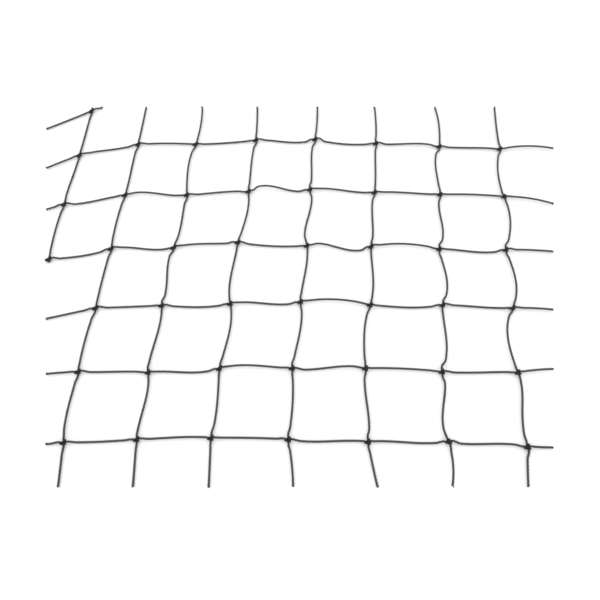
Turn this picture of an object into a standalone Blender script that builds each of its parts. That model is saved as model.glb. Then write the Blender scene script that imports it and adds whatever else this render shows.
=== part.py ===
# Bird netting: a cut length of square-hung knotted netting, lying loosely on a flat surface.
# Metres, +Z up. The origin is under the middle of the net, on the surface that it lies on.
# Column strands A to H run from the far edge (+Y) to the near edge (-Y), row strands 0 to 6
# from left (-X) to right (+X), and a knot joins them at every crossing.

import bmesh
import bpy
from mathutils import Matrix, Vector

MM = 0.001

# driving dimensions
MESH_SIZE = 50.0 * MM          # from knot to knot
TWINE_DIAMETER = 1.5 * MM
FAR_WIDTH = 433.0 * MM         # the cut outline: a trapezium, wider at its far edge
NEAR_WIDTH = 317.0 * MM
DEPTH = 320.5 * MM
SKEW = 0.075                   # how far the columns lean to the right for each unit away
OUTLINE_X = 2.0 * MM           # the middle of the outline
GRID_X = -17.0 * MM            # the middle of the mesh grid
GRID_Y = 19.0 * MM
MIDDLE_COLUMN = 3.5
MIDDLE_ROW = 3

# knots: squat domes that stand on a flat underside
KNOT_WIDTH = 5.0 * MM
KNOT_HEIGHT = 4.8 * MM         # before the foot is taken off
KNOT_FOOT = 0.9 * MM           # what is taken off the underside of the dome
KNOT_SIDES = 8
KNOT_RINGS = 4

# heights of the twine's middle line
ROW_KNOT_Z = 1.75 * MM
COLUMN_KNOT_Z = 1.6 * MM
BAR_Z = 1.3 * MM               # halfway between two knots, where the twine sags a little
COLUMN_LIFT = 0.4              # how far a column bar rises for each unit that it bows
ROW_LIFT = 0.5                 # the same for a row bar that bows away from the near edge
ROW_LEAN = 0.73                # the share of such a bow that stays sideways

BAR_STEPS = 4                  # straight pieces of tube between two knots
TAIL_STEPS = 250               # steps in which a tail looks for the outline, over one mesh
TWINE_RESOLUTION = 1           # six sides

COLUMNS = "ABCDEFGH"
ROWS = "0123456"

# Where each knot has drifted from the even grid, in mm, to the right (+X) and away (+Y).
# A column with no number has no knot inside the outline.
#        row: A      B     C     D     E     F     G     H
DRIFT_X = {
    "0": (6.0,),
    "1": (7.0,   3.5,  1.0,  0.5, -0.5, -0.5,  1.5,  1.0),
    "2": (6.5,   3.0,  1.5,  0.0, -1.5, -0.5,  1.0,  1.0),
    "3": (7.5,   2.5, -0.5, -2.5, -0.5, -2.0, -1.0, -1.0),
    "4": (None,  2.0, -1.0, -2.0, -1.5, -1.5,  0.5,  0.5),
    "5": (None,  1.0, -1.5, -3.0, -3.5, -3.5, -1.5,  0.0),
    "6": (None,  3.0,  0.0, -2.0, -2.0, -0.5,  1.5,  2.0),
}
DRIFT_Y = {
    "0": (-13.0,),
    "1": (-11.5, 0.0,  0.0,  4.5,  5.5,  1.0, -2.5, -5.0),
    "2": (-11.0, -2.0, -2.0, 1.5,  3.5,  0.5, -1.5, -3.5),
    "3": (-11.5, -2.0, -1.0, 3.5,  0.5,  0.0, -2.5, -3.0),
    "4": (None,  -2.5, -0.5, 1.0,  2.5,  0.0,  0.0, -2.5),
    "5": (None,  -1.5, -2.0, 1.0,  1.0,  1.0, -1.5, -2.0),
    "6": (None,  -0.5, 1.5,  2.5,  1.5,  0.0,  0.0, -3.5),
}

# How far each bar bows, in mm, at one third and at two thirds of its length, from the strand's
# first knot to its last: a column's bars to the right, a row's bars away from the near edge.
COLUMN_BOWS = {
    "A": ((0.0, 0.0), (0.0, -0.5), (-1.0, -1.0)),
    "B": ((-0.5, 0.0), (-1.0, -1.0), (-0.5, -0.5), (-1.0, -1.0), (-1.0, -1.5)),
    "C": ((-2.5, -2.0), (0.5, 1.5), (-1.5, 0.5), (1.5, 0.0), (2.0, 0.5)),
    "D": ((-1.0, -0.5), (2.5, 2.0), (-1.0, -2.0), (3.0, 2.0), (1.0, 1.5)),
    "E": ((-1.5, 0.0), (1.5, -1.5), (1.5, 0.5), (2.5, 1.5), (1.5, 1.5)),
    "F": ((0.0, 0.5), (-1.0, 0.5), (1.0, 2.0), (-2.5, -2.0), (-0.5, 1.0)),
    "G": ((-3.5, -2.0), (0.0, 2.5), (2.5, 4.0), (1.5, 3.0), (0.5, -2.5)),
    "H": ((-3.0, -3.0), (3.5, 3.5), (3.0, 4.0), (-5.5, -4.5), (1.0, -1.0)),
}
ROW_BOWS = {
    "0": (),
    "1": ((0.5, -0.5), (1.0, 1.0), (-0.5, -0.5), (-1.0, -3.0), (-2.5, -2.5), (0.5, 2.0), (0.0, 0.5)),
    "2": ((-1.5, -0.5), (2.5, 0.5), (0.5, 1.0), (4.5, 0.0), (1.5, 0.0), (1.0, 0.5), (1.0, 1.0)),
    "3": ((-1.5, -2.0), (0.5, -1.5), (1.5, 0.5), (-1.5, -1.5), (1.0, -3.5), (3.0, 3.0), (-1.0, -2.5)),
    "4": ((0.0, 0.0), (-1.5, -2.0), (0.5, -1.5), (3.0, 3.0), (-1.5, -2.0), (0.0, -0.5)),
    "5": ((0.0, 0.5), (-0.5, -2.0), (2.5, 1.5), (-0.5, 1.5), (1.0, 1.0), (-0.5, 0.0)),
    "6": ((-0.5, -0.5), (0.5, 1.0), (0.5, 0.5), (-1.0, 0.0), (0.0, -1.0), (-0.5, 1.0)),
}

# The cut tails beyond a strand's first and last knots: how far each leads off to the right
# (columns) or away (rows) over one mesh, and how far it bows, in mm.
#            first tail     last tail
COLUMN_TAILS = {
    "A": ((3.5, 0.0),    (-8.0, 0.0)),
    "B": ((2.5, 0.0),    (2.5, 0.0)),
    "C": ((1.5, 2.0),    (2.0, 0.0)),
    "D": ((-0.5, 0.5),   (1.0, 0.0)),
    "E": ((2.0, 1.0),    (3.0, 1.5)),
    "F": ((0.5, 1.0),    (9.0, -0.5)),
    "G": ((-0.5, 2.0),   (-9.0, 4.0)),
    "H": ((2.5, -0.5),   (-6.0, -0.5)),
}
ROW_TAILS = {
    "0": ((-28.5, 0.0),  (25.0, 0.0)),
    "1": ((-29.5, 1.0),  (-1.0, 3.0)),
    "2": ((-22.5, 1.0),  (-13.0, 3.0)),
    "3": ((-20.0, 0.0),  (-3.5, 1.0)),
    "4": ((-12.5, 0.0),  (-5.0, 1.5)),
    "5": ((-6.0, 1.0),   (1.0, 2.0)),
    "6": ((-5.5, 0.0),   (-1.0, 0.0)),
}


def clear_scene():
    for item in list(bpy.data.objects):
        bpy.data.objects.remove(item, do_unlink=True)


def new_collection(name):
    collection = bpy.data.collections.new(name)
    bpy.context.scene.collection.children.link(collection)
    return collection


def twine_material():
    material = bpy.data.materials.new("charcoal twine")
    material.use_nodes = True
    shader = material.node_tree.nodes["Principled BSDF"]
    shader.inputs["Base Color"].default_value = (0.035, 0.036, 0.038, 1.0)
    shader.inputs["Roughness"].default_value = 0.55
    shader.inputs["Metallic"].default_value = 0.0
    return material


def knot_place(column, row):
    """The middle of a knot, seen from above."""
    away = MESH_SIZE * (MIDDLE_ROW - ROWS.index(row))
    across = MESH_SIZE * (COLUMNS.index(column) - MIDDLE_COLUMN)
    index = COLUMNS.index(column)
    x = GRID_X + across + SKEW * away + DRIFT_X[row][index] * MM
    y = GRID_Y + away + DRIFT_Y[row][index] * MM
    return Vector((x, y))


def has_knot(column, row):
    drift = DRIFT_X[row]
    index = COLUMNS.index(column)
    return index < len(drift) and drift[index] is not None


def inside_outline(point):
    nearness = 0.5 - point.y / DEPTH
    half_width = 0.5 * (FAR_WIDTH + (NEAR_WIDTH - FAR_WIDTH) * nearness)
    return abs(point.y) <= 0.5 * DEPTH and abs(point.x - OUTLINE_X) <= half_width


def bow_at(part, first, second):
    """A cubic bow that is nothing at both ends, first at one third and second at two thirds."""
    early = 3.0 * first - 1.5 * second
    late = 3.0 * second - 1.5 * first
    return 3.0 * part * (1.0 - part) * ((1.0 - part) * early + part * late)


def bar_point(start, end, part, bow, sideways, knot_z, lift_of):
    """A point of a bar between two knots; part runs from 0 to 1."""
    lean, lift = lift_of(bow)
    place = start.lerp(end, part) + sideways * lean
    arch = 4.0 * part * (1.0 - part)
    z = knot_z + (BAR_Z - knot_z) * arch + lift
    return Vector((place.x, place.y, z))


def column_lift(bow):
    return bow, COLUMN_LIFT * abs(bow)


def row_lift(bow):
    if bow <= 0.0:
        return bow, 0.0
    return ROW_LEAN * bow, ROW_LIFT * bow


def tail_points(start, along, sideways, lead, bow_mm, knot_z, lift_of):
    """A strand's cut tail: from its last knot outwards until the outline."""
    end = start + along * MESH_SIZE + sideways * lead * MM
    points = []
    for step in range(1, TAIL_STEPS + 1):
        part = step / TAIL_STEPS
        bow = bow_at(part, bow_mm * MM, bow_mm * MM)
        point = bar_point(start, end, part, bow, sideways, knot_z, lift_of)
        if not inside_outline(point):
            break
        points.append(point)
    pieces = max(1, round(BAR_STEPS * len(points) / TAIL_STEPS))
    return [points[round(len(points) * piece / pieces) - 1] for piece in range(1, pieces + 1)]


def strand_points(knots, bows, tails, along, sideways, knot_z, lift_of):
    """A whole strand: its first tail, its bars and knots, and its last tail."""
    first, last = tails
    points = tail_points(knots[0], -along, sideways, first[0], first[1], knot_z, lift_of)
    points.reverse()
    for number, knot in enumerate(knots):
        points.append(Vector((knot.x, knot.y, knot_z)))
        if number + 1 == len(knots):
            break
        for step in range(1, BAR_STEPS):
            part = step / BAR_STEPS
            bow = bow_at(part, bows[number][0] * MM, bows[number][1] * MM)
            points.append(bar_point(knot, knots[number + 1], part, bow, sideways, knot_z, lift_of))
    points += tail_points(knots[-1], along, sideways, last[0], last[1], knot_z, lift_of)
    return points


def column_strands():
    for name in COLUMNS:
        knots = [knot_place(name, row) for row in ROWS if has_knot(name, row)]
        yield strand_points(knots, COLUMN_BOWS[name], COLUMN_TAILS[name],
                            Vector((0.0, -1.0)), Vector((1.0, 0.0)), COLUMN_KNOT_Z, column_lift)


def row_strands():
    for name in ROWS:
        knots = [knot_place(column, name) for column in COLUMNS if has_knot(column, name)]
        yield strand_points(knots, ROW_BOWS[name], ROW_TAILS[name],
                            Vector((1.0, 0.0)), Vector((0.0, 1.0)), ROW_KNOT_Z, row_lift)


def twine_mesh(name, strands):
    """Tubes along all the strands of one direction, as one mesh."""
    curve = bpy.data.curves.new(name, "CURVE")
    curve.dimensions = "3D"
    curve.bevel_depth = 0.5 * TWINE_DIAMETER
    curve.bevel_resolution = TWINE_RESOLUTION
    curve.use_fill_caps = True
    for points in strands:
        spline = curve.splines.new("POLY")
        spline.points.add(len(points) - 1)
        for place, point in zip(spline.points, points):
            place.co = (point.x, point.y, point.z, 1.0)
    guide = bpy.data.objects.new(name + " curve", curve)
    bpy.context.scene.collection.objects.link(guide)
    evaluated = guide.evaluated_get(bpy.context.evaluated_depsgraph_get())
    mesh = bpy.data.meshes.new_from_object(evaluated)
    shape = bmesh.new()
    shape.from_mesh(mesh)
    bmesh.ops.remove_doubles(shape, verts=shape.verts, dist=0.01 * MM)
    shape.to_mesh(mesh)
    shape.free()
    bpy.data.objects.remove(guide, do_unlink=True)
    return mesh


def add_knot(shape, place):
    """A squat dome on a flat foot."""
    middle = Matrix.Translation((place.x, place.y, 0.5 * KNOT_HEIGHT))
    size = Matrix.Diagonal((0.5 * KNOT_WIDTH, 0.5 * KNOT_WIDTH, 0.5 * KNOT_HEIGHT, 1.0))
    made = bmesh.ops.create_uvsphere(shape, u_segments=KNOT_SIDES, v_segments=KNOT_RINGS,
                                     radius=1.0, matrix=middle @ size)
    faces = {face for vert in made["verts"] for face in vert.link_faces}
    edges = {edge for vert in made["verts"] for edge in vert.link_edges}
    cut = bmesh.ops.bisect_plane(shape, geom=made["verts"] + list(edges) + list(faces),
                                 plane_co=(0.0, 0.0, KNOT_FOOT), plane_no=(0.0, 0.0, 1.0),
                                 clear_inner=True)
    rim = [item for item in cut["geom_cut"] if isinstance(item, bmesh.types.BMEdge)]
    bmesh.ops.contextual_create(shape, geom=rim)


def knot_mesh():
    shape = bmesh.new()
    for row in ROWS:
        for column in COLUMNS:
            if has_knot(column, row):
                add_knot(shape, knot_place(column, row))
    bmesh.ops.translate(shape, verts=shape.verts, vec=(0.0, 0.0, -KNOT_FOOT))
    bmesh.ops.recalc_face_normals(shape, faces=shape.faces)
    mesh = bpy.data.meshes.new("knots")
    shape.to_mesh(mesh)
    shape.free()
    return mesh


def add_joined_to(target, mesh, collection):
    """Joins a mesh to the target with an exact union."""
    piece = bpy.data.objects.new(mesh.name, mesh)
    collection.objects.link(piece)
    piece.hide_render = True
    piece.display_type = "WIRE"
    union = target.modifiers.new("join " + mesh.name, "BOOLEAN")
    union.operation = "UNION"
    union.solver = "EXACT"
    union.object = piece


def build_netting():
    parts = new_collection("bird netting")
    cutters = new_collection("cutters")
    netting = bpy.data.objects.new("netting", twine_mesh("row twines", row_strands()))
    netting.data.materials.append(twine_material())
    parts.objects.link(netting)
    add_joined_to(netting, twine_mesh("column twines", column_strands()), cutters)
    add_joined_to(netting, knot_mesh(), cutters)


clear_scene()
build_netting()
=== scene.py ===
import math
import random

import bmesh
import bpy
import numpy as np
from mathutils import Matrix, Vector


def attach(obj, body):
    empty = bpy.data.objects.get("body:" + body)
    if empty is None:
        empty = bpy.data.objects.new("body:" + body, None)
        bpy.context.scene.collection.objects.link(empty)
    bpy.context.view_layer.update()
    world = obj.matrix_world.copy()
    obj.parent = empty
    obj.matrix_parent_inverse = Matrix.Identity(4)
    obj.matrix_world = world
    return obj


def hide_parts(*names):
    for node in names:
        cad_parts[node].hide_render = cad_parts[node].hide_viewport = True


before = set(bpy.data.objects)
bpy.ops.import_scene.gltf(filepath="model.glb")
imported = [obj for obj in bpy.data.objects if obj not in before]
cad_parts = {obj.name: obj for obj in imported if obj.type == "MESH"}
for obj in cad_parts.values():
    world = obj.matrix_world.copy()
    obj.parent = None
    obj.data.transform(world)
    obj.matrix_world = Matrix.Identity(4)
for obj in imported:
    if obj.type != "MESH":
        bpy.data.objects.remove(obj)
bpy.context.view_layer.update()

mm = 0.001  # lengths below are in millimetres until a piece gets its mesh

# The lie of the net. Knots and bars drift and bow as they do in the CAD netting.
net = {
    "mesh": 50.0,          # from knot to knot
    "farWidth": 433.0,     # the cut outline, a trapezium
    "nearWidth": 317.0,
    "depth": 320.5,
    "outlineX": 2.0,
    "skew": 0.075,         # how far the columns lean to the right for each unit away
    "gridX": -17.0,        # the middle of the mesh grid
    "gridY": 19.0,
    "middleColumn": 3.5,
    "middleRow": 3,
    "columns": "ABCDEFGH",
    "rows": "0123456",
    "midBarZ": 1.3,        # twine height halfway between two knots
    "columnLift": 0.4,     # how far a column bar rises for each unit that it bows
    "rowLift": 0.5,
    "rowLean": 0.73,       # the share of a row bar's upward bow that stays sideways
    "barSteps": 60,        # along a bar, and along a tail before the outline cuts it
    "tailSteps": 250,
}

# How far each knot has drifted from the even grid, to the right and away.
#        A      B     C     D     E     F     G     H
driftX = {
    "0": (6.0,),
    "1": (7.0,   3.5,  1.0,  0.5, -0.5, -0.5,  1.5,  1.0),
    "2": (6.5,   3.0,  1.5,  0.0, -1.5, -0.5,  1.0,  1.0),
    "3": (7.5,   2.5, -0.5, -2.5, -0.5, -2.0, -1.0, -1.0),
    "4": (None,  2.0, -1.0, -2.0, -1.5, -1.5,  0.5,  0.5),
    "5": (None,  1.0, -1.5, -3.0, -3.5, -3.5, -1.5,  0.0),
    "6": (None,  3.0,  0.0, -2.0, -2.0, -0.5,  1.5,  2.0),
}
driftY = {
    "0": (-13.0,),
    "1": (-11.5, 0.0,  0.0,  4.5,  5.5,  1.0, -2.5, -5.0),
    "2": (-11.0, -2.0, -2.0, 1.5,  3.5,  0.5, -1.5, -3.5),
    "3": (-11.5, -2.0, -1.0, 3.5,  0.5,  0.0, -2.5, -3.0),
    "4": (None,  -2.5, -0.5, 1.0,  2.5,  0.0,  0.0, -2.5),
    "5": (None,  -1.5, -2.0, 1.0,  1.0,  1.0, -1.5, -2.0),
    "6": (None,  -0.5, 1.5,  2.5,  1.5,  0.0,  0.0, -3.5),
}

# How far each bar bows at one third and at two thirds of its length: a column's bars to the
# right, a row's bars away.
columnBows = {
    "A": ((0.0, 0.0), (0.0, -0.5), (-1.0, -1.0)),
    "B": ((-0.5, 0.0), (-1.0, -1.0), (-0.5, -0.5), (-1.0, -1.0), (-1.0, -1.5)),
    "C": ((-2.5, -2.0), (0.5, 1.5), (-1.5, 0.5), (1.5, 0.0), (2.0, 0.5)),
    "D": ((-1.0, -0.5), (2.5, 2.0), (-1.0, -2.0), (3.0, 2.0), (1.0, 1.5)),
    "E": ((-1.5, 0.0), (1.5, -1.5), (1.5, 0.5), (2.5, 1.5), (1.5, 1.5)),
    "F": ((0.0, 0.5), (-1.0, 0.5), (1.0, 2.0), (-2.5, -2.0), (-0.5, 1.0)),
    "G": ((-3.5, -2.0), (0.0, 2.5), (2.5, 4.0), (1.5, 3.0), (0.5, -2.5)),
    "H": ((-3.0, -3.0), (3.5, 3.5), (3.0, 4.0), (-5.5, -4.5), (1.0, -1.0)),
}
rowBows = {
    "0": (),
    "1": ((0.5, -0.5), (1.0, 1.0), (-0.5, -0.5), (-1.0, -3.0), (-2.5, -2.5), (0.5, 2.0), (0.0, 0.5)),
    "2": ((-1.5, -0.5), (2.5, 0.5), (0.5, 1.0), (4.5, 0.0), (1.5, 0.0), (1.0, 0.5), (1.0, 1.0)),
    "3": ((-1.5, -2.0), (0.5, -1.5), (1.5, 0.5), (-1.5, -1.5), (1.0, -3.5), (3.0, 3.0), (-1.0, -2.5)),
    "4": ((0.0, 0.0), (-1.5, -2.0), (0.5, -1.5), (3.0, 3.0), (-1.5, -2.0), (0.0, -0.5)),
    "5": ((0.0, 0.5), (-0.5, -2.0), (2.5, 1.5), (-0.5, 1.5), (1.0, 1.0), (-0.5, 0.0)),
    "6": ((-0.5, -0.5), (0.5, 1.0), (0.5, 0.5), (-1.0, 0.0), (0.0, -1.0), (-0.5, 1.0)),
}

# The cut tails past a strand's first and last knots: how far each leads off to the right
# (columns) or away (rows) over one mesh, and how far it bows.
columnTails = {
    "A": ((3.5, 0.0),    (-8.0, 0.0)),
    "B": ((2.5, 0.0),    (2.5, 0.0)),
    "C": ((1.5, 2.0),    (2.0, 0.0)),
    "D": ((-0.5, 0.5),   (1.0, 0.0)),
    "E": ((2.0, 1.0),    (3.0, 1.5)),
    "F": ((0.5, 1.0),    (9.0, -0.5)),
    "G": ((-0.5, 2.0),   (-9.0, 4.0)),
    "H": ((2.5, -0.5),   (-6.0, -0.5)),
}
rowTails = {
    "0": ((-28.5, 0.0),  (25.0, 0.0)),
    "1": ((-29.5, 1.0),  (-1.0, 3.0)),
    "2": ((-22.5, 1.0),  (-13.0, 3.0)),
    "3": ((-20.0, 0.0),  (-3.5, 1.0)),
    "4": ((-12.5, 0.0),  (-5.0, 1.5)),
    "5": ((-6.0, 1.0),   (1.0, 2.0)),
    "6": ((-5.5, 0.0),   (-1.0, 0.0)),
}


def hasKnot(column, row):
    if not (0 <= column < len(net["columns"]) and 0 <= row < len(net["rows"])):
        return False
    drift = driftX[net["rows"][row]]
    return column < len(drift) and drift[column] is not None


def knotPlace(column, row):
    name = net["rows"][row]
    away = net["mesh"] * (net["middleRow"] - row)
    across = net["mesh"] * (column - net["middleColumn"])
    x = net["gridX"] + across + net["skew"] * away + driftX[name][column]
    y = net["gridY"] + away + driftY[name][column]
    return np.array((x, y, 0.0))


def insideOutline(point):
    nearness = 0.5 - point[1] / net["depth"]
    width = net["farWidth"] + (net["nearWidth"] - net["farWidth"]) * nearness
    return abs(point[1]) <= 0.5 * net["depth"] and abs(point[0] - net["outlineX"]) <= 0.5 * width


# A cubic bow: nothing at both ends, first at one third and second at two thirds.
def bowAt(part, first, second):
    early = 3.0 * first - 1.5 * second
    late = 3.0 * second - 1.5 * first
    return 3.0 * part * (1.0 - part) * ((1.0 - part) * early + part * late)


def barPoint(start, end, part, bow, isRow):
    if isRow:
        lean = net["rowLean"] * bow if bow > 0.0 else bow
        lift = net["rowLift"] * max(bow, 0.0)
        sideways = np.array((0.0, 1.0, 0.0))
    else:
        lean = bow
        lift = net["columnLift"] * abs(bow)
        sideways = np.array((1.0, 0.0, 0.0))
    point = start + (end - start) * part + sideways * lean
    arch = 4.0 * part * (1.0 - part)
    point[2] = knot["legZ"] + (net["midBarZ"] - knot["legZ"]) * arch + lift
    return point


def fullBar(start, end, bows, isRow):
    parts = [step / net["barSteps"] for step in range(net["barSteps"] + 1)]
    return [barPoint(start, end, part, bowAt(part, *bows), isRow) for part in parts]


def cutTail(start, along, sideways, tail, isRow, trimmed):
    lead, bow = tail
    end = start + along * net["mesh"] + sideways * lead
    points = []
    for step in range(net["tailSteps"] + 1):
        part = step / net["tailSteps"]
        point = barPoint(start, end, part, bowAt(part, bow, bow), isRow)
        if trimmed and not insideOutline(point):
            break
        points.append(point)
    return points


# The points of the twine that leaves a knot on one side, from the knot outwards.
def barFrom(column, row, side, trimmed=True):
    right, away = np.array((1.0, 0.0, 0.0)), np.array((0.0, 1.0, 0.0))
    start = knotPlace(column, row)
    isRow = side in "EW"
    forward = side in "ES"
    stepColumn, stepRow = {"E": (1, 0), "W": (-1, 0), "S": (0, 1), "N": (0, -1)}[side]
    nextColumn, nextRow = column + stepColumn, row + stepRow
    strand = net["rows"][row] if isRow else net["columns"][column]
    if hasKnot(nextColumn, nextRow):
        end = knotPlace(nextColumn, nextRow)
        table = rowBows[strand] if isRow else columnBows[strand]
        places = [(n, row) if isRow else (column, n) for n in range(len(net["columns"]))]
        firstKnot = [hasKnot(*place) for place in places].index(True)
        number = min(column, nextColumn) if isRow else min(row, nextRow)
        bows = table[number - firstKnot]
        if forward:
            return fullBar(start, end, bows, isRow)
        return fullBar(end, start, bows, isRow)[::-1]
    tails = rowTails[strand] if isRow else columnTails[strand]
    along = (right if isRow else -away) * (1.0 if forward else -1.0)
    tail = tails[1 if forward else 0]
    return cutTail(start, along, away if isRow else right, tail, isRow, trimmed)


# The netting knot, seen with its meshes as diamonds: one twine makes a bight, and the other
# comes up through it, goes round its neck and under itself. Its routes are in units of size.
knot = {
    "size": 1.13,          # smaller than the twine, because a tight knot squeezes it
    "squeeze": 0.87,       # how thin the twine is drawn in the knot
    "turn": 45.0,          # degrees, from diamond meshes to square ones
    "legZ": 1.65,          # height of the middle of the four legs
    "core": 2.75,          # how much of the tied shape is kept, in units of size
    "reach": 7.5,          # where the bars take over
    "gap": 0.9,            # how close two stretches of twine are pulled together
    "routePoints": 120,
    "step": 0.2,           # between the points that are pulled and pushed, in units of size
    "rounds": 300,         # of pulling, each with a few pushes
    "pushes": 8,
    "tension": 0.6,        # how hard each round straightens the twine, and how hard it evens its bends
    "stiffness": 0.1,
    "easing": (1.8, 4.0),  # where the twine is still tight, and where it is loose again
    "free": 1.8,           # stretches nearer than this along the twine don't push apart
    "turnSpread": 4.0,     # degrees
    "sizeSpread": 0.04,    # no two knots are quite alike
    #          right  away   up
    "bight": ((-4.5,  4.5,  0.0), (-2.6,  2.75, 0.0), (-1.25, 1.6, 0.0), (-0.7, 0.95, 0.0),
              (-0.95, -0.1, 0.0), (-0.95, -0.9, 0.0), (-0.55, -1.5, 0.05), (0.0, -1.7, 0.1),
              (0.55, -1.5, 0.05), (0.95, -0.9, 0.0), (0.95, -0.1, 0.0), (0.7, 0.95, 0.0),
              (1.25, 1.6, 0.0), (2.6, 2.75, 0.0), (4.5, 4.5, 0.0)),
    "tying": ((-4.5, -4.5, 0.0), (-2.8, -3.1, -0.2), (-1.5, -2.5, -0.7), (-0.5, -1.8, -1.0),
              (-0.05, -1.0, -0.6), (0.0, -0.65, 0.3), (0.05, -0.35, 1.2), (0.25, 0.2, 1.85),
              (0.8, 0.8, 1.6), (1.45, 1.15, 0.8), (1.7, 1.3, -0.2), (1.1, 1.35, -1.05),
              (0.0, 1.25, -1.15), (-1.1, 1.1, -1.05), (-1.75, 0.95, -0.1), (-1.4, 0.75, 0.8),
              (-0.6, 0.35, 1.05), (0.1, 0.0, 0.95), (0.9, -0.35, 1.05), (1.8, -1.2, 0.8),
              (2.9, -2.7, 0.2), (4.5, -4.5, 0.0)),
}


def runLength(points):
    steps = np.linalg.norm(np.diff(points, axis=0), axis=1)
    return np.concatenate(((0.0,), np.cumsum(steps)))


def evenly(points, step):
    run = runLength(points)
    marks = np.linspace(0.0, run[-1], max(8, round(run[-1] / step)) + 1)
    return np.stack([np.interp(marks, run, points[:, axis]) for axis in range(3)], axis=1)


# A smooth curve through the points, read at the given distances along them.
def smoothThrough(points, marks):
    run = runLength(points)
    slopes = np.gradient(points, run, axis=0)
    index = np.clip(np.searchsorted(run, marks, side="right") - 1, 0, len(run) - 2)
    gap = (run[index + 1] - run[index])[:, None]
    part = (marks - run[index])[:, None] / gap
    square, cube = part ** 2, part ** 3
    ends = (2 * cube - 3 * square + 1) * points[index] + (3 * square - 2 * cube) * points[index + 1]
    turns = (cube - 2 * square + part) * slopes[index] + (cube - square) * slopes[index + 1]
    return ends + turns * gap


# Pulls both twines tight, while stretches that touch push each other apart.
def tieKnot():
    chains = []
    for name in ("bight", "tying"):
        route = np.array(knot[name])
        marks = np.linspace(0.0, runLength(route)[-1], knot["routePoints"])
        chains.append(smoothThrough(route, marks))
    ends = [(chain[0].copy(), chain[-1].copy()) for chain in chains]
    for _ in range(knot["rounds"]):
        chains = [evenly(chain, knot["step"]) for chain in chains]
        for chain in chains:
            pull = np.zeros_like(chain)
            pull[1:-1] = 0.5 * (chain[:-2] + chain[2:]) - chain[1:-1]
            bend = np.zeros_like(chain)
            bend[1:-1] = pull[1:-1] - 0.5 * (pull[:-2] + pull[2:])
            chain += knot["tension"] * pull + knot["stiffness"] * bend
        both = np.vstack(chains)
        count = len(chains[0])
        order = np.arange(len(both))
        order[count:] += 10 * len(both)   # so that no point of one twine neighbours the other's
        neighbours = np.abs(order[:, None] - order[None]) < knot["free"] / knot["step"]
        for _ in range(knot["pushes"]):
            apart = both[:, None] - both[None]
            distance = np.linalg.norm(apart, axis=-1)
            touching = (distance < knot["gap"]) & ~neighbours
            push = np.where(touching, 0.5 * (knot["gap"] - distance) / np.maximum(distance, 1e-6), 0.0)
            shares = np.maximum(touching.sum(1), 1)[:, None]
            both = both + (push[..., None] * apart).sum(1) / shares
        chains = [both[:count], both[count:]]
        for chain, (start, end) in zip(chains, ends):
            chain[0], chain[-1] = start, end
    return {"bight": chains[0], "tying": chains[1]}


# One twisted twine: three plies wound round its middle line.
twine = {
    "plies": 3,
    "plyRadius": 0.40,
    "plyOffset": 0.42,     # from the middle of the twine to the middle of a ply
    "lay": 6.8,            # length of one full turn of the plies
    "layDrift": 0.24,      # how unevenly it is twisted
    "driftLengths": (17.0, 7.3),
    "routeStep": 4.0,      # between the points that guide the middle line along a bar
    "fineStep": 0.1,
    "smoothing": 6,
    "barStep": 0.5,        # between the rings of a ply, on a bar and near a knot
    "knotStep": 0.36,
    "knotZone": 5.0,
    "bevelResolution": 3,
    "splay": 0.16,         # how far the plies open at a cut end
    "splayLength": 2.4,
    "raggedness": 0.7,     # how unevenly the plies are cut
    "seed": 31,
    "mergeGap": 0.002,
    "sharpAngle": 60.0,    # degrees, so that only the cut ends have sharp edges
}


# The mean direction of the two bars that a strand has at a knot.
def strandWay(column, row, ahead, behind):
    reaches = []
    for side in (ahead, behind):
        points = barFrom(column, row, side, trimmed=False)
        far = next(point for point in points if np.linalg.norm(point - points[0]) > knot["reach"])
        reaches.append((far - points[0])[:2] / np.linalg.norm((far - points[0])[:2]))
    way = reaches[0] - reaches[1]
    return way / np.linalg.norm(way)


# The tied twine at its place, pulled askew by the four bars as the mesh is.
def placedKnot(tied, kind, column, row):
    dice = random.Random(100 * row + column)
    turn = math.radians(knot["turn"] + dice.uniform(-1, 1) * knot["turnSpread"])
    size = knot["size"] * (1.0 + dice.uniform(-1, 1) * knot["sizeSpread"])
    across = strandWay(column, row, "E", "W")
    away = strandWay(column, row, "N", "S")
    points = tied[kind]
    points = points[np.hypot(points[:, 0], points[:, 1]) < knot["core"]]
    x = math.cos(turn) * points[:, 0] - math.sin(turn) * points[:, 1]
    y = math.sin(turn) * points[:, 0] + math.cos(turn) * points[:, 1]
    flat = size * (x[:, None] * across + y[:, None] * away)
    place = knotPlace(column, row) + np.array((0.0, 0.0, knot["legZ"]))
    return (np.column_stack((flat, size * points[:, 2])) + place)[::-1]


def clearOfKnot(points, place):
    return [point for point in points if np.hypot(*(point - place)[:2]) > knot["reach"]]


# Thins a run of points to about the given gap, with its two ends kept.
def spaced(points, gap):
    if len(points) < 2:
        return points
    steps = max(1, round(float(runLength(np.array(points))[-1]) / gap))
    return [points[round(step * (len(points) - 1) / steps)] for step in range(steps + 1)]


# Each twine goes down the net as a staircase: round a knot as its bight, left along a row,
# ties the next knot, then down a column to the bight of the knot below.
def staircase(number):
    stops = []
    for row in range(len(net["rows"])):
        stops.append(("bight", number - row, row))
        stops.append(("tying", number - row - 1, row))
    return [stop for stop in stops if hasKnot(*stop[1:])]


def twineRoute(tied, stops):
    enters = {"bight": "N", "tying": "E"}
    leaves = {"bight": "W", "tying": "S"}
    kind, column, row = stops[0]
    tail = clearOfKnot(barFrom(column, row, enters[kind]), knotPlace(column, row))
    route = spaced(tail, twine["routeStep"])[::-1]
    for place, (kind, column, row) in enumerate(stops):
        route += list(placedKnot(tied, kind, column, row))
        bar = clearOfKnot(barFrom(column, row, leaves[kind]), knotPlace(column, row))
        if place + 1 < len(stops):
            bar = clearOfKnot(bar, knotPlace(*stops[place + 1][1:]))
        route += spaced(bar, twine["routeStep"])
    return np.array(route)


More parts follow.
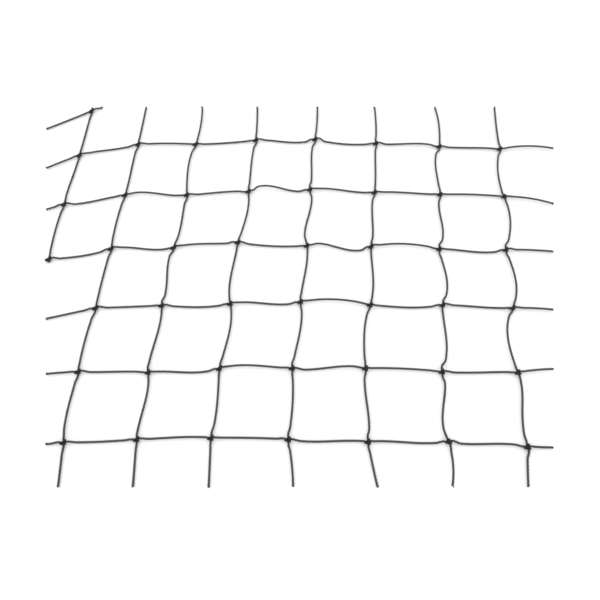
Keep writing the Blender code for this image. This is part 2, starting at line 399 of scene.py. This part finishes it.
def knotDistance(points, stops):
    places = np.array([knotPlace(column, row)[:2] for _, column, row in stops])
    apart = points[:, None, :2] - places[None]
    return np.linalg.norm(apart, axis=-1).min(axis=1)


# From 0 in a knot to 1 on a bar.
def loosened(distance):
    start, end = knot["easing"]
    loose = np.clip((distance - start) / (end - start), 0.0, 1.0)
    return loose * loose * (3.0 - 2.0 * loose)


# The twine is thinner where a knot squeezes it.
def thicknessAlong(line, stops):
    return knot["squeeze"] + (1.0 - knot["squeeze"]) * loosened(knotDistance(line, stops))


# Short steps round the knots and longer ones along the bars.
def middleLine(route, stops):
    run = runLength(route)
    fine = smoothThrough(route, np.arange(0.0, run[-1], twine["fineStep"]))
    for _ in range(twine["smoothing"]):
        fine[1:-1] = 0.25 * fine[:-2] + 0.5 * fine[1:-1] + 0.25 * fine[2:]
    near = knotDistance(fine, stops) < twine["knotZone"]
    kept = [0]
    for index in range(1, len(fine)):
        step = twine["knotStep"] if near[index] else twine["barStep"]
        if (index - kept[-1]) * twine["fineStep"] >= step:
            kept.append(index)
    return fine[kept]


# Two directions across the line, which turn no more than the line does.
def acrossLine(line):
    ahead = np.gradient(line, axis=0)
    ahead /= np.linalg.norm(ahead, axis=1)[:, None]
    first = np.cross(ahead[0], (0.0, 0.0, 1.0))
    sides = [first / np.linalg.norm(first)]
    for way in ahead[1:]:
        side = sides[-1] - way * np.dot(sides[-1], way)
        sides.append(side / np.linalg.norm(side))
    sides = np.array(sides)
    return sides, np.cross(ahead, sides)


# The middle lines of the plies, wound round the twine's own and cut off unevenly.
def plyLines(line, thickness, dice):
    run = runLength(line)
    toEnd = np.minimum(run, run[-1] - run)
    opening = np.clip(1.0 - toEnd / twine["splayLength"], 0.0, 1.0) ** 2
    side, over = acrossLine(line)
    waver = sum(np.sin(run / length + dice.uniform(0, 6)) for length in twine["driftLengths"])
    angle = 2.0 * math.pi * run / twine["lay"] + twine["layDrift"] * waver
    for ply in range(twine["plies"]):
        turn = (angle + 2.0 * math.pi * ply / twine["plies"])[:, None]
        spread = twine["splay"] * opening * dice.uniform(0.5, 1.5)
        offset = (twine["plyOffset"] * thickness + spread)[:, None]
        points = line + offset * (np.cos(turn) * side + np.sin(turn) * over)
        for end, inner in ((0, 1), (-1, -2)):
            out = points[end] - points[inner]
            points[end] += out / np.linalg.norm(out) * dice.uniform(-0.3, 1.0) * twine["raggedness"]
        yield points


def makeTwine(name, line, thickness, stops, dice, material):
    curve = bpy.data.curves.new(name, "CURVE")
    curve.dimensions = "3D"
    curve.bevel_depth = twine["plyRadius"] * mm
    curve.bevel_resolution = twine["bevelResolution"]
    curve.use_fill_caps = True
    for points in plyLines(line, thickness, dice):
        spline = curve.splines.new("POLY")
        spline.points.add(len(points) - 1)
        places = np.column_stack((points * mm, np.ones(len(points))))
        spline.points.foreach_set("co", places.ravel())
        spline.points.foreach_set("radius", thickness)
    guide = bpy.data.objects.new(name + "-guide", curve)
    bpy.context.scene.collection.objects.link(guide)
    solid = guide.evaluated_get(bpy.context.evaluated_depsgraph_get())
    made = bpy.data.meshes.new_from_object(solid)
    bpy.data.objects.remove(guide, do_unlink=True)
    shape = bmesh.new()
    shape.from_mesh(made)
    bmesh.ops.remove_doubles(shape, verts=shape.verts, dist=twine["mergeGap"] * mm)
    length = runLength(line)[-1]
    uvLayer = shape.loops.layers.uv.active
    for face in shape.faces:
        for corner in face.loops:
            corner[uvLayer].uv.x *= length   # along the twine, in mm
    if shape.calc_volume(signed=True) < 0.0:
        bmesh.ops.reverse_faces(shape, faces=shape.faces)
    shape.to_mesh(made)
    shape.free()
    places = np.empty(3 * len(made.vertices))
    made.vertices.foreach_get("co", places)
    # 1 in the knots and 0 on the bars: the mask for the painted shade in the knots
    knotShadeMask = 1.0 - loosened(knotDistance(places.reshape(-1, 3) / mm, stops))
    made.attributes.new("knotShadeMask", "FLOAT", "POINT").data.foreach_set("value", knotShadeMask)
    made.name = name
    made.shade_smooth()
    made.set_sharp_from_angle(angle=math.radians(twine["sharpAngle"]))
    piece = bpy.data.objects.new(name, made)
    bpy.context.scene.collection.objects.link(piece)
    piece.data.materials.clear()
    piece.data.materials.append(material)
    return piece


# A value on its way through a material. Sums on it add Math nodes.
class Wire:
    def __init__(self, tree, socket=None):
        self.tree = tree
        self.socket = socket

    # Adds a node: its settings first, then the values or links of its sockets.
    def node(self, kind, settings=None, inputs=None, output=0):
        made = self.tree.nodes.new("ShaderNode" + kind)
        for name, value in (settings or {}).items():
            setattr(made, name, value)
        for name, value in (inputs or {}).items():
            if isinstance(value, Wire):
                self.tree.links.new(value.socket, made.inputs[name])
            else:
                made.inputs[name].default_value = value
        return Wire(self.tree, made.outputs[output])

    def maths(self, operation, first, second=0.0):
        return self.node("Math", {"operation": operation}, {0: first, 1: second})

    # From the first colour to the second as this value goes from 0 to 1, and no further.
    def blend(self, first, second):
        return self.node("Mix", {"data_type": "RGBA", "clamp_factor": True},
                         {"Factor": self, 6: first, 7: second}, output=2)

    def noise(self, scale, detail):
        return self.node("TexNoise", inputs={"Vector": self, "Scale": scale, "Detail": detail})

    def __add__(self, other):
        return self.maths("ADD", self, other)

    def __radd__(self, other):
        return self.maths("ADD", other, self)

    def __sub__(self, other):
        return self.maths("SUBTRACT", self, other)

    def __rsub__(self, other):
        return self.maths("SUBTRACT", other, self)

    def __mul__(self, other):
        return self.maths("MULTIPLY", self, other)

    def __rmul__(self, other):
        return self.maths("MULTIPLY", other, self)


def newMaterial(name, constants):
    material = bpy.data.materials.new(name)
    material.use_nodes = True
    shader = material.node_tree.nodes["Principled BSDF"]
    for socket, value in constants.items():
        shader.inputs[socket].default_value = value
    return material, shader, Wire(material.node_tree)


polyethylene = {
    "knotShade": (0.012, 0.012, 0.013, 1.0),   # painted shade in the knots, where the twines shade each other
    "loose": (0.036, 0.036, 0.036, 1.0),
    # the colour of the dust patches and of the filaments' tops, which are lighter than the grooves:
    # painted shade in the grooves
    "dustyAndLitTops": (0.082, 0.082, 0.080, 1.0),
    "specular": 0.3,
    "roughness": 0.36,
    "roughnessSpread": 0.2,
    "filaments": 9.0,      # round one ply
    "filamentDepth": 0.03 * mm,
    "bump": 0.6,
    "grainHeight": 0.5,    # beside the filaments' 1
    "blotch": 60.0,        # patches of dust to the metre
    "blotchDetail": 3.0,
    "grain": 900.0,
    "grainDetail": 2.0,
    "blotchDust": 0.6,     # how much dust the patches and the grain hold, and how much lighter the filaments' tops are painted than the grooves between them (painted shade in the grooves)
    "grainDust": 0.3,
    # painted shade: the grooves between the filaments stay darker than their tops
    "grooveShade": 0.25,
    "cleaned": 0.1,        # how much of it is rubbed off everywhere
}


# Black twisted polyethylene: fine filaments along each ply, with patches of dust, painted shade in the
# grooves between the filaments and painted shade in the knots.
def makeTwineMaterial():
    material, shader, start = newMaterial(
        "black polyethylene twine", {"Metallic": 0.0, "Specular IOR Level": polyethylene["specular"]})
    links = material.node_tree.links
    uv = start.node("TexCoord", output="UV")
    along = uv.node("SeparateXYZ", inputs={0: uv}, output="X")
    around = uv.node("SeparateXYZ", inputs={0: uv}, output="Y")
    where = start.node("TexCoord", output="Object")
    blotch = where.noise(polyethylene["blotch"], polyethylene["blotchDetail"])
    grain = where.noise(polyethylene["grain"], polyethylene["grainDetail"])
    # The mask of painted shade in the knots, stored on each piece
    knotShade = start.node("Attribute", {"attribute_name": "knotShadeMask"}, output="Fac")
    turns = polyethylene["filaments"] * (around + along * (1.0 / twine["lay"]))
    ridge = 0.5 + 0.5 * turns.maths("SINE", turns * (2.0 * math.pi))

    # Dust patches and grain, plus the filaments' tops lighter than the grooves between them: painted
    # shade in the grooves
    dustAndGrooveShade = blotch * polyethylene["blotchDust"] + grain * polyethylene["grainDust"]
    dustAndGrooveShade = dustAndGrooveShade + ridge * polyethylene["grooveShade"] - polyethylene["cleaned"]
    # The knots get the darkest colour: painted shade where the twines cover and shade each other
    colour = knotShade.blend(dustAndGrooveShade.blend(polyethylene["loose"], polyethylene["dustyAndLitTops"]), polyethylene["knotShade"])
    links.new(colour.socket, shader.inputs["Base Color"])
    rough = polyethylene["roughness"] + polyethylene["roughnessSpread"] * grain
    links.new(rough.socket, shader.inputs["Roughness"])
    height = ridge + grain * polyethylene["grainHeight"]
    bump = height.node("Bump", inputs={"Height": height, "Strength": polyethylene["bump"],
                                       "Distance": polyethylene["filamentDepth"]})
    links.new(bump.socket, shader.inputs["Normal"])
    return material


print("tying the knot")
tied = tieKnot()
for name, chain in tied.items():
    print(name, "takes", round(float(runLength(chain)[-1]) * knot["size"], 1), "mm of twine")

print("colouring the twine")
twineMaterial = makeTwineMaterial()

print("laying the twines")
total = 0.0
for number in range(len(net["columns"]) + len(net["rows"])):
    stops = staircase(number)
    line = middleLine(twineRoute(tied, stops), stops)
    thickness = thicknessAlong(line, stops)
    dice = random.Random(twine["seed"] + number)
    piece = makeTwine(f"twine_{number + 1:02d}", line, thickness, stops, dice, twineMaterial)
    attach(piece, "root")
    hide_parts("netting")
    length = float(runLength(line)[-1])
    total += length
    triangles = sum(len(face.vertices) - 2 for face in piece.data.polygons)
    print(f"{piece.name}: knots {len(stops)}, length {length:.0f} mm, triangles {triangles}")
print("twine in all:", round(total / 1000.0, 2), "m")

studio = {
    "floorSize": 4.0,
    "floorColour": (0.88, 0.88, 0.88, 1.0),
    "floorRoughness": 0.9,
    "skyStrength": 1.2,
    "lampPower": 5.0,
    "lampSize": 1.6,
    "lampPlace": (-0.5, -0.4, 1.6),
}


def makeFloor():
    shape = bmesh.new()
    bmesh.ops.create_grid(shape, x_segments=1, y_segments=1, size=0.5 * studio["floorSize"])
    flat = bpy.data.meshes.new("floor")
    shape.to_mesh(flat)
    shape.free()
    floor = bpy.data.objects.new("floor", flat)
    bpy.context.scene.collection.objects.link(floor)
    material, _, _ = newMaterial("pale floor", {"Base Color": studio["floorColour"],
                                                "Roughness": studio["floorRoughness"],
                                                "Specular IOR Level": 0.0})
    flat.materials.append(material)


def makeLight():
    world = bpy.data.worlds.new("soft studio")
    world.use_nodes = True
    sky = world.node_tree.nodes["Background"]
    sky.inputs["Color"].default_value = (1.0, 1.0, 1.0, 1.0)
    sky.inputs["Strength"].default_value = studio["skyStrength"]
    bpy.context.scene.world = world
    lamp = bpy.data.lights.new("softbox", "AREA")
    lamp.energy = studio["lampPower"]
    lamp.size = studio["lampSize"]
    softbox = bpy.data.objects.new("softbox", lamp)
    softbox.location = studio["lampPlace"]
    softbox.rotation_euler = (-Vector(studio["lampPlace"])).to_track_quat("-Z", "Y").to_euler()
    bpy.context.scene.collection.objects.link(softbox)
    bpy.context.scene.view_settings.view_transform = "Standard"


camera = {
    "lens": 39.9,
    "sensor": 36.0,
    "nearest": 0.01,
    "elevation": 61.5,     # degrees down
    "distance": 0.4786,
    "aim": (0.00245, -0.02715, 0.0017),
}


def makeCamera():
    lens = bpy.data.cameras.new("camera")
    lens.lens = camera["lens"]
    lens.sensor_width = camera["sensor"]
    lens.clip_start = camera["nearest"]
    view = bpy.data.objects.new("camera", lens)
    down = math.radians(camera["elevation"])
    back = Vector((0.0, -math.cos(down), math.sin(down)))
    view.location = Vector(camera["aim"]) + back * camera["distance"]
    view.rotation_euler = (math.radians(90.0) - down, 0.0, 0.0)
    bpy.context.scene.collection.objects.link(view)
    bpy.context.scene.camera = view


print("setting the studio")
makeFloor()
makeLight()
makeCamera()
